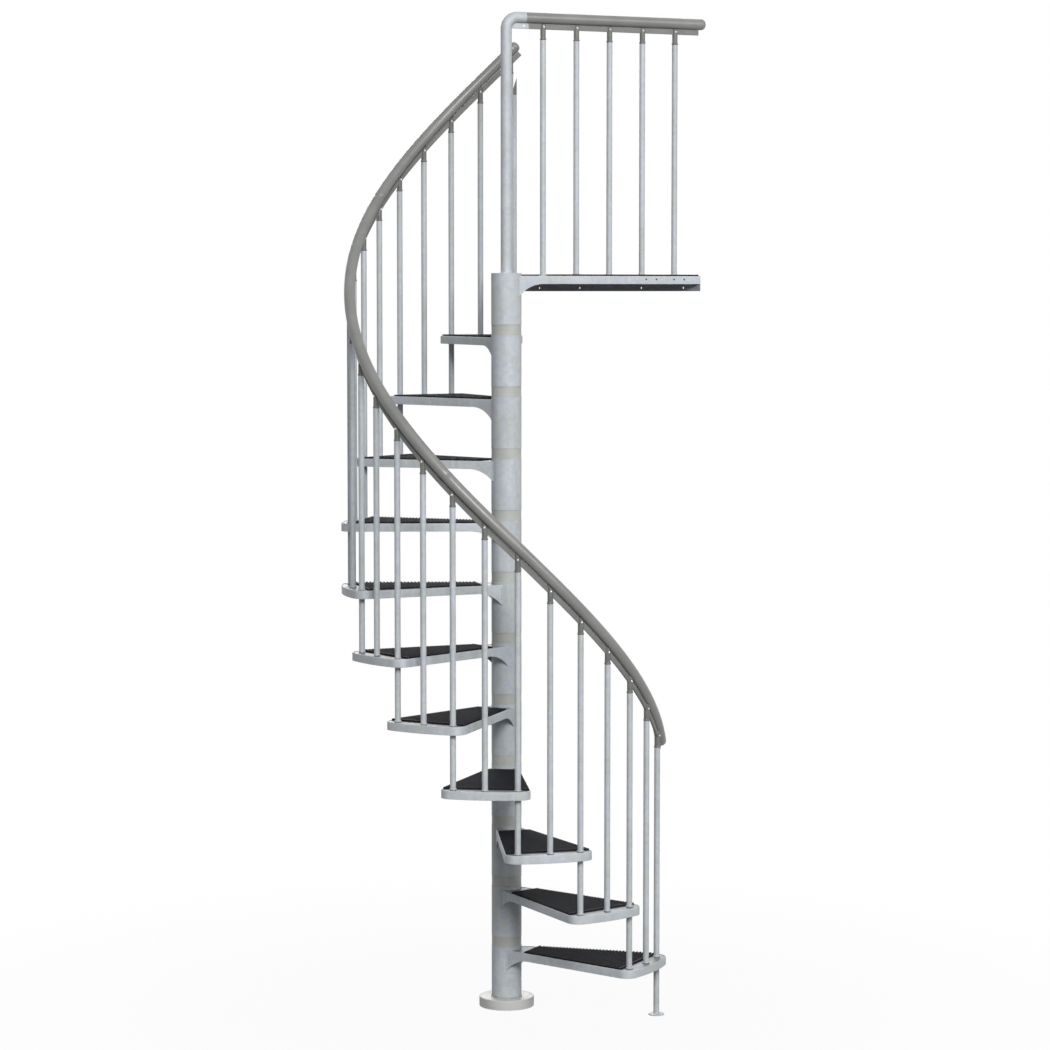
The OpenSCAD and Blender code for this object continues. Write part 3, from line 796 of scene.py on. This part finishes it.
def build_stair_balusters(steel, plastic, screws, bushes):
    tubes, heads = Shape(), Shape()
    for n in range(1, LAST_BALUSTER + 1):
        tread = n // 2
        low = tread * RISE + BAND_TOP - BAND_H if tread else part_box("baluster_foot")[1].z
        rail_z = FIRST_RAIL_Z + (n - 1) * HALF_TURN * RAIL_SLOPE
        high = rail_z - RAIL_R / math.cos(CLIMB) - FITTING_H
        tubes.add(baluster_tube(low, high), on_baluster_circle(n))
        top = on_baluster_circle(n, rail_z) @ Matrix.Rotation(-math.pi / 2, 4, "Z")
        heads.add(fitting(CLIMB), top)
        screws.add(fitting_screws(CLIMB), top)
        for level in {tread, tread + n % 2} - {0, STEPS + 1}:
            bushes.add(baluster_bush(), on_baluster_circle(n, level * RISE + BAND_TOP))
    boards_z = LANDING_Z + BAND_TOP + BOARD_PROUD
    bushes.add(baluster_bush(), on_baluster_circle(LAST_BALUSTER, boards_z))
    tubes.piece("stair_baluster_tubes", steel, "galvanised_steel", ["stair_balusters"])
    heads.piece("stair_baluster_heads", plastic, "fitting_plastic", ["stair_fittings"])


def build_landing_balusters(steel, plastic, screws, bushes):
    """Balusters along the landing's rail; the first stands on the hub plate, the rest on boards."""
    tubes, heads = Shape(), Shape()
    floor_z = LANDING_Z + BAND_TOP
    for i in range(LANDING_BALUSTERS):
        place = turned(RAIL_SIDE_ANGLE) @ at(LANDING_FIRST + i * LANDING_PITCH, 0, 0)
        top = at(0, 0, LANDING_RAIL_Z) @ place
        tubes.add(baluster_tube(floor_z - BAND_H, LANDING_RAIL_Z - RAIL_R - FITTING_H), place)
        heads.add(fitting(0), top)
        screws.add(fitting_screws(0), top)
        bushes.add(baluster_bush(), at(0, 0, floor_z + (BOARD_PROUD if i else 0)) @ place)
    tubes.piece("landing_baluster_tubes", steel, "galvanised_steel", ["landing_balusters"])
    heads.piece("landing_baluster_heads", plastic, "fitting_plastic", ["landing_fittings"])


def corner_plug():
    """Plug with a slanted face, high on its side away from the landing."""
    r = BALUSTER_TUBE_R
    slope = (CORNER_PLUG_H - PLUG_BASE) / (2 * r)

    def slanted(radius, drop):
        return [Vector((radius * math.cos(a), radius * math.sin(a),
                        PLUG_BASE + r * (1 - math.sin(a)) * slope - drop))
                for a in around(PLUG_SIDES)]

    foot = [Vector((r * math.cos(a), r * math.sin(a), 0)) for a in around(PLUG_SIDES)]
    return skin([foot, slanted(r, PLUG_EDGE), slanted(r - PLUG_EDGE, 0)])


def build_corner_post(steel, plastic, bushes):
    place = turned(ENTRY_ANGLE) @ at(*CORNER_POST, LANDING_Z)
    shape = Shape().add(baluster_tube(BAND_TOP - BAND_H, CORNER_POST_H), place)
    shape.piece("corner_post_tube", steel, "galvanised_steel", ["corner_post"])
    bushes.add(baluster_bush(), place @ at(0, 0, BAND_TOP + BOARD_PROUD))
    shape = Shape().add(corner_plug(), place @ at(0, 0, CORNER_POST_H))
    shape.piece("corner_post_bevelled_plug", plastic, "fitting_plastic", ["corner_post_plug"])


def build_baluster_foot(steel, screws):
    """Round floor flange of the first baluster, with a collar round the tube."""
    place = on_baluster_circle(1)
    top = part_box("baluster_foot")[1].z
    shape = Shape().add(lathe([(0, 0), (FOOT_R - EDGE, 0), (FOOT_R, EDGE)] +
                              rounded(FOOT_R - FOOT_ROUND, top - FOOT_ROUND, FOOT_ROUND, 0, 90) +
                              [(0, top)], FOOT_SIDES), place)
    low, collar_r = top - COLLAR_SUNK, BALUSTER_TUBE_R + COLLAR_T
    shape.add(lathe([(0, low), (collar_r, low)] +
                    rounded(BALUSTER_TUBE_R, top + COLLAR_RAISED, COLLAR_ROUND, 0, 85) +
                    [(0, top + COLLAR_ROUND)], TUBE_SIDES), place)
    shape.piece("baluster_foot_flange", steel, "galvanised_steel", ["baluster_foot"])
    for a in around(FOOT_SCREWS):
        a += FOOT_SCREW_START
        spot = at(FOOT_SCREW_CIRCLE * math.cos(a), FOOT_SCREW_CIRCLE * math.sin(a), top)
        screws.add(pan_head(*FOOT_HEAD), place @ spot)


def build_balusters(steel, plastic, screw, bush):
    screws, bushes = Shape(), Shape()
    build_stair_balusters(steel, plastic, screws, bushes)
    build_landing_balusters(steel, plastic, screws, bushes)
    build_corner_post(steel, plastic, bushes)
    build_baluster_foot(steel, screws)
    screws.piece("fitting_screws", screw, "galvanised_steel")
    bushes.piece("baluster_bushes", bush, "spacer_plastic")


# ------------------------ handrail

def rail_cap():
    """Rounded end along +X with a short straight lip."""
    reach = RAIL_CAP_LEN - RAIL_CAP_LIP
    profile = [(0, 0), (RAIL_R, 0), (RAIL_R, RAIL_CAP_LIP)]
    for i in range(1, CAP_SPANS):
        a = math.pi / 2 * i / CAP_SPANS
        profile.append((RAIL_R * math.cos(a) ** RAIL_CAP_FULLNESS,
                        RAIL_CAP_LIP + reach * math.sin(a)))
    profile.append((0, RAIL_CAP_LEN))
    return along_x(lathe(profile, RAIL_SIDES))


def rail_frame(turn):
    """Point on the stair rail's centre line, and its outward, forward and upward directions."""
    a = baluster_angle(1) - turn
    out = Vector((math.cos(a), math.sin(a), 0))
    level = Vector((math.sin(a), -math.cos(a), 0))
    along = level * math.cos(CLIMB) + Vector((0, 0, math.sin(CLIMB)))
    point = out * BALUSTER_R + Vector((0, 0, FIRST_RAIL_Z + turn * RAIL_SLOPE))
    return point, out, along, out.cross(along)


def rail_length(start, end):
    """Solid stretch of the stair rail between two turns, softened where it meets the next."""
    steps = round((end - start) / RAIL_STEP)
    joint = RAIL_JOINT / BALUSTER_R
    marks = [(start, RAIL_EDGE), (start + joint, 0)]
    marks += [(start + (end - start) * i / steps, 0) for i in range(1, steps)]
    marks += [(end - joint, 0), (end, RAIL_EDGE)]
    rings = []
    for turn, less in marks:
        point, out, _, up = rail_frame(turn)
        r = RAIL_R - less
        rings.append([point + r * (math.cos(a) * out + math.sin(a) * up)
                      for a in around(RAIL_SIDES)])
    return skin(rings)


def stair_flat_bar():
    """Flat bar under the whole stair rail, with a slim neck along its top."""
    steps = round((RAIL_END - RAIL_START) / RAIL_STEP)
    t, h = BAR_T / 2, BAR_H / 2
    neck, neck_low = t - BAR_NECK_IN, h - BAR_NECK_H
    section = [(-t + BAR_EDGE, -h), (t - BAR_EDGE, -h), (t, -h + BAR_EDGE), (t, neck_low),
               (neck, neck_low), (neck, h), (-neck, h), (-neck, neck_low), (-t, neck_low),
               (-t, -h + BAR_EDGE)]
    rings = []
    for i in range(steps + 1):
        turn = RAIL_START + (RAIL_END - RAIL_START) * i / steps
        ring = []
        for across, up in section:
            drop = BAR_DROP - up
            a = baluster_angle(1) - turn - drop * math.sin(CLIMB) / BALUSTER_R
            r = BALUSTER_R + across
            z = FIRST_RAIL_Z + turn * RAIL_SLOPE - drop * math.cos(CLIMB)
            ring.append(Vector((r * math.cos(a), r * math.sin(a), z)))
        rings.append(ring)
    return skin(rings)


def build_stair_rail(plastic, bar):
    for section in range(RAIL_LENGTHS):
        start = RAIL_START + section * RAIL_LENGTH_TURN
        end = RAIL_END if section == RAIL_LENGTHS - 1 else start + RAIL_LENGTH_TURN
        name = f"stair_handrail_{section + 1}"
        shape = Shape().add(rail_length(start, end))
        shape.piece(f"{name}_tube", plastic, "handrail_plastic", [name])
    caps = Shape()
    for turn, way in ((RAIL_START, -1), (RAIL_END, 1)):
        point, out, along, up = rail_frame(turn)
        caps.add(rail_cap(), axes(along * way, out * way, up, point))
    caps.piece("stair_handrail_ends", plastic, "handrail_plastic", ["stair_rail_caps"])
    shape = Shape().add(stair_flat_bar())
    shape.piece("stair_rail_flat_bar", bar, "rail_bar", ["stair_rail_bar"])


def build_landing_rail(plastic, bar):
    place = turned(RAIL_SIDE_ANGLE, LANDING_RAIL_Z)
    length, slim = LANDING_RAIL_END - LANDING_RAIL_START, RAIL_R - RAIL_EDGE
    solid = lathe([(0, 0), (slim, 0), (RAIL_R, RAIL_EDGE), (RAIL_R, length - RAIL_EDGE),
                   (slim, length), (0, length)], RAIL_SIDES)
    shape = Shape().add(along_x(solid), place @ at(LANDING_RAIL_START, 0, 0))
    shape.piece("landing_handrail_tube", plastic, "handrail_plastic", ["landing_handrail"])
    shape = Shape().add(rail_cap(), place @ at(LANDING_RAIL_END, 0, 0))
    shape.piece("landing_handrail_end", plastic, "handrail_plastic", ["landing_rail_cap"])
    low = (LANDING_BAR_START, -BAR_T / 2, -BAR_DROP - BAR_H / 2)
    high = (LANDING_BAR_END, BAR_T / 2, -BAR_DROP + BAR_H / 2)
    shape = Shape().add(rounded_box(low, high, BAR_EDGE), place)
    shape.piece("landing_rail_flat_bar", bar, "rail_bar", ["landing_rail_bar"])


# ------------------------ materials

def map_range(tree, value, low, high, from_low, from_high):
    """Node that carries a value from one range to another, and holds it inside that."""
    node = tree.nodes.new("ShaderNodeMapRange")
    tree.links.new(value, node.inputs["Value"])
    for name, number in (("From Min", from_low), ("From Max", from_high),
                         ("To Min", low), ("To Max", high)):
        node.inputs[name].default_value = number
    return node


class Finish:
    """Node material whose colour, roughness and bump come from object-space textures."""

    # Parts of a noise texture's range that are carried over to tones and to roughness
    TONE_RANGE = (0.35, 0.65)
    ROUGH_RANGE = (0.3, 0.7)

    def __init__(self, name, metallic=0.0, specular=0.5):
        self.material = bpy.data.materials.new(name)
        self.material.use_nodes = True
        self.tree = self.material.node_tree
        self.shader = self.tree.nodes["Principled BSDF"]
        self.shader.inputs["Metallic"].default_value = metallic
        self.shader.inputs["Specular IOR Level"].default_value = specular
        self.where = self.node("ShaderNodeTexCoord").outputs["Object"]

    def put(self, socket, value):
        """Links a socket to another one, or sets its number or colour."""
        if isinstance(value, bpy.types.NodeSocket):
            self.tree.links.new(value, socket)
        else:
            socket.default_value = value

    def node(self, kind, **inputs):
        node = self.tree.nodes.new(kind)
        for name, value in inputs.items():
            self.put(node.inputs[name.replace("_", " ")], value)
        return node

    def stretched(self, x, y, z):
        """Object coordinates scaled along each axis."""
        return self.node("ShaderNodeMapping", Vector=self.where, Scale=(x, y, z)).outputs["Vector"]

    def noise(self, scale, detail=2.0, rough=0.5, where=None):
        return self.node("ShaderNodeTexNoise", Vector=where or self.where, Scale=scale,
                         Detail=detail, Roughness=rough).outputs["Fac"]

    def cells(self, scale):
        """One grey value for each crystal-like cell."""
        cell = self.node("ShaderNodeTexVoronoi", Vector=self.where, Scale=scale)
        return self.node("ShaderNodeSeparateColor", Color=cell.outputs["Color"]).outputs["Red"]

    def ranged(self, value, low, high, from_low=0.0, from_high=1.0):
        return map_range(self.tree, value, low, high, from_low, from_high).outputs["Result"]

    def mixed(self, factor, a, b, blend="MIX"):
        node = self.tree.nodes.new("ShaderNodeMix")
        node.data_type = "RGBA"
        node.blend_type = blend
        self.put(node.inputs[0], factor)
        for socket, value in ((node.inputs[6], a), (node.inputs[7], b)):
            self.put(socket, (*value, 1.0) if isinstance(value, tuple) else value)
        return node.outputs[2]

    def patches(self, scale, dark, light, detail=3):
        """Two tones in soft patches."""
        share = self.ranged(self.noise(scale, detail), 0, 1, *self.TONE_RANGE)
        return self.mixed(share, dark, light)

    def uneven(self, scale, low, high, detail=3):
        """A roughness that wanders between two values."""
        return self.ranged(self.noise(scale, detail), low, high, *self.ROUGH_RANGE)

    def wire(self, colour, roughness, height, strength, distance):
        """Joins colour, roughness and a bump of a strength and a distance to the shader."""
        bump = self.node("ShaderNodeBump", Height=height, Strength=strength, Distance=distance)
        self.put(self.shader.inputs["Base Color"], colour)
        self.put(self.shader.inputs["Roughness"], roughness)
        self.put(self.shader.inputs["Normal"], bump.outputs["Normal"])
        return self.material


def galvanised(name, painted_shade=1.0):
    """Zinc coating: soft spangle, cool and greenish clouds, faint runs; a factor below one darkens
    every tone, which makes a copy of the finish with painted shade for parts that lie in shadow.
    """
    f = Finish(name, metallic=0.05, specular=0.3)
    base, green, pale = [tuple(painted_shade * v for v in tone) for tone in ZINC_TONES]
    crystals = f.cells(70)
    spangle = f.ranged(crystals, 0.90, 1.06)
    fine = f.ranged(f.noise(240, 3), 0.96, 1.03, 0.3, 0.7)
    clouds = f.ranged(f.noise(5.5, 3, 0.6), 0, 1, 0.38, 0.62)
    runs = f.ranged(f.noise(3, 2, 0.5, f.stretched(16, 16, 1.4)), 0, 0.5, 0.45, 0.75)
    zinc = f.mixed(runs, f.mixed(clouds, base, green), pale)
    grain = f.node("ShaderNodeCombineColor", Red=spangle, Green=spangle, Blue=fine).outputs["Color"]
    colour = f.mixed(0.75, zinc, grain, "MULTIPLY")
    return f.wire(colour, f.ranged(crystals, 0.42, 0.56), f.noise(420, 3), 0.12, 0.0006)


def board_finish():
    """Black composite with fine streaks along the ribs."""
    f = Finish("ribbed_board_finish", specular=0.1)
    streaks = f.ranged(f.noise(30, 4, 0.65, f.stretched(3, 3, 20)), 0, 1, 0.3, 0.7)
    flecks = f.ranged(f.noise(900, 2), 0, 0.6, 0.52, 0.72)
    base = f.mixed(flecks, f.mixed(streaks, *BOARD_TONES), BOARD_FLECK)
    return f.wire(base, f.ranged(streaks, 0.62, 0.80), f.noise(700, 3), 0.35, 0.0006)


def rail_finish():
    """Handrail plastic: soft sheen with pale specks."""
    f = Finish("handrail_plastic_finish", specular=0.7)
    specks = f.ranged(f.noise(1100, 1), 0, 0.35, 0.55, 0.75)
    base = f.mixed(specks, f.patches(9, *RAIL_TONES), RAIL_SPECK)
    return f.wire(base, f.uneven(35, 0.32, 0.39), f.noise(900, 2), 0.10, 0.0004)


def bar_finish():
    """Paint on the flat bars under the handrails."""
    f = Finish("rail_bar_finish")
    base = f.patches(14, *BAR_TONES)
    return f.wire(base, f.uneven(60, 0.40, 0.52), f.noise(600, 2), 0.10, 0.0004)


def fitting_finish():
    """Dark moulded plastic of the baluster heads."""
    f = Finish("fitting_plastic_finish")
    base = f.patches(40, *FITTING_TONES)
    return f.wire(base, f.uneven(120, 0.30, 0.40), f.noise(1500, 2), 0.15, 0.0003)


def spacer_finish():
    """Pale moulded plastic of the column's spacers and the bushes."""
    f = Finish("spacer_plastic_finish")
    base = f.patches(16, *SPACER_TONES)
    return f.wire(base, f.uneven(60, 0.42, 0.56), f.noise(1000, 2), 0.12, 0.0004)


def cover_finish():
    """Foot cover's plastic, with scuffs round it."""
    f = Finish("cover_plastic_finish")
    scuffs = f.ranged(f.noise(10, 4, 0.7, f.stretched(1, 1, 14)), 0, 0.4, 0.55, 0.75)
    base = f.mixed(scuffs, f.patches(12, *COVER_TONES), COVER_SCUFF)
    return f.wire(base, f.uneven(50, 0.40, 0.55), f.noise(900, 2), 0.12, 0.0004)


def painted_shade_finish():
    """Painted shade for the landing's fascia screws: dark tones that stand for the screws lying in
    shade.
    """
    f = Finish("painted_shade_screw_finish")
    base = f.patches(14, *PAINTED_SHADE_TONES)
    return f.wire(base, f.uneven(70, 0.45, 0.60), f.noise(800, 3), 0.2, 0.0005)


def screw_finish():
    """Bright plated screws."""
    f = Finish("screw_finish", metallic=0.8)
    base = f.patches(400, *SCREW_TONES, detail=2)
    return f.wire(base, f.uneven(900, 0.25, 0.38, detail=2), f.noise(1200, 2), 0.1, 0.0003)


# ------------------------ stage, light, camera

def white_for_camera(tree, surface, share):
    """Mixes white light into a surface for the camera and for what shiny things mirror."""
    nodes, links = tree.nodes, tree.links

    def combined(operation, a, b):
        node = nodes.new("ShaderNodeMath")
        node.operation, node.use_clamp = operation, True
        for socket, value in zip(node.inputs, (a, b)):
            if isinstance(value, float):
                socket.default_value = value
            else:
                links.new(value, socket)
        return node.outputs[0]

    path = nodes.new("ShaderNodeLightPath").outputs
    seen = combined("ADD", path["Is Camera Ray"], path["Is Glossy Ray"])
    seen = combined("ADD", seen, path["Is Transmission Ray"])
    mix = nodes.new("ShaderNodeMixShader")
    links.new(combined("MULTIPLY", seen, share), mix.inputs[0])
    links.new(surface, mix.inputs[1])
    return mix


def build_floor():
    """Round pale floor that keeps the shadow near the stair and fades to white further out."""
    verts, faces = lathe([(0, FLOOR_UNDER), (FLOOR_R, FLOOR_UNDER),
                          (FLOOR_R, FLOOR_TOP), (0, FLOOR_TOP)], COLUMN_SIDES)
    mesh = bpy.data.meshes.new("floor")
    mesh.from_pydata(verts, [], faces)
    mesh.update()
    floor = bpy.data.objects.new("floor", mesh)
    bpy.context.scene.collection.objects.link(floor)
    material = bpy.data.materials.new("floor_pale")
    material.use_nodes = True
    tree = material.node_tree
    nodes, links = tree.nodes, tree.links
    shader = nodes["Principled BSDF"]
    shader.inputs["Base Color"].default_value = FLOOR_GREY
    shader.inputs["Roughness"].default_value = FLOOR_ROUGH
    place = nodes.new("ShaderNodeTexCoord")
    distance = nodes.new("ShaderNodeVectorMath")
    distance.operation = "LENGTH"
    links.new(place.outputs["Object"], distance.inputs[0])
    fade = map_range(tree, distance.outputs["Value"], FLOOR_WHITE_NEAR, FLOOR_WHITE_FAR,
                     FLOOR_FADE_START, FLOOR_FADE_END)
    fade.interpolation_type = "SMOOTHSTEP"
    white = nodes.new("ShaderNodeEmission")
    mix = white_for_camera(tree, shader.outputs["BSDF"], fade.outputs["Result"])
    links.new(white.outputs[0], mix.inputs[2])
    links.new(mix.outputs[0], nodes["Material Output"].inputs["Surface"])
    mesh.materials.append(material)


def build_world():
    """Dim sky that grows towards the zenith, and plain white where it is seen."""
    world = bpy.data.worlds.new("studio")
    bpy.context.scene.world = world
    world.use_nodes = True
    tree = world.node_tree
    nodes, links = tree.nodes, tree.links
    light = nodes["Background"]
    place = nodes.new("ShaderNodeTexCoord")
    split = nodes.new("ShaderNodeSeparateXYZ")
    links.new(place.outputs["Generated"], split.inputs[0])
    ramp = map_range(tree, split.outputs["Z"], SKY_LOW, SKY_HIGH, SKY_RISES_FROM, 1.0)
    links.new(ramp.outputs["Result"], light.inputs["Strength"])
    light.inputs["Color"].default_value = SKY_TINT
    white = nodes.new("ShaderNodeBackground")
    white.inputs["Color"].default_value = WHITE
    white.inputs["Strength"].default_value = 1.0
    mix = white_for_camera(tree, light.outputs[0], 1.0)
    links.new(white.outputs[0], mix.inputs[2])
    links.new(mix.outputs[0], nodes["World Output"].inputs["Surface"])


def area_lamp(name, azimuth, height, size, power):
    """Soft lamp that faces the middle of the staircase; azimuth is in degrees."""
    data = bpy.data.lights.new(name, "AREA")
    data.shape = "RECTANGLE"
    data.size, data.size_y = size
    data.energy = power
    lamp = bpy.data.objects.new(name, data)
    a = VIEW_AZIMUTH - math.pi / 2 + math.radians(azimuth)
    lamp.location = (LAMP_DISTANCE * math.cos(a), LAMP_DISTANCE * math.sin(a), height)
    aim = LAMP_TARGET - lamp.location
    lamp.rotation_euler = aim.to_track_quat("-Z", "Y").to_euler()
    bpy.context.scene.collection.objects.link(lamp)


def build_camera():
    data = bpy.data.cameras.new("camera")
    data.lens = CAMERA_LENS
    data.sensor_width = CAMERA_SENSOR
    camera = bpy.data.objects.new("camera", data)
    camera.location = CAMERA_AT
    camera.rotation_euler = (math.pi / 2 - CAMERA_PITCH, 0, VIEW_AZIMUTH)
    bpy.context.scene.collection.objects.link(camera)
    bpy.context.scene.camera = camera


# ------------------------ assembly

build_camera()
build_world()
build_floor()
area_lamp("key_lamp", azimuth=10, height=10.6, size=(6.0, 5.4), power=2160)
area_lamp("side_lamp", azimuth=45, height=8.0, size=(6.0, 6.0), power=720)
area_lamp("back_lamp", azimuth=188, height=8.0, size=(8.0, 7.0), power=1050)

STEEL = galvanised("galvanised_steel_finish")
# Copy of the steel finish darkened as painted shade, for the deck plates and the exit flange
PAINTED_SHADE_ZINC = galvanised("painted_shade_zinc_finish", SHADED_ZINC)
BOARD = board_finish()
RAIL = rail_finish()
BAR = bar_finish()
FITTING = fitting_finish()
SPACER = spacer_finish()
COVER = cover_finish()
SCREW_PAINTED_SHADE = painted_shade_finish()
SCREW = screw_finish()

for step in range(1, STEPS + 1):
    build_tread(step, STEEL, PAINTED_SHADE_ZINC)
build_boards(BOARD)
build_landing(STEEL)
# The fascia screws get the dark finish that paints shade on them
build_fascia_screws(SCREW_PAINTED_SHADE)
build_column(STEEL, SPACER, COVER)
build_newel(STEEL, SCREW)
build_balusters(STEEL, FITTING, SCREW, SPACER)
build_stair_rail(RAIL, BAR)
build_landing_rail(RAIL, BAR)

# CAD nodes that show as they are, in the finish of their neighbours; the exit flange takes the
# darker zinc, painted shade for the landing's shadow over it
for node, finish in (("center_pole", STEEL), ("floor_plate", STEEL), ("exit_flange", PAINTED_SHADE_ZINC)):
    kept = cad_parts[node].data.materials
    kept.clear()
    kept.append(finish)

scene = bpy.context.scene
scene.view_settings.view_transform = "Standard"
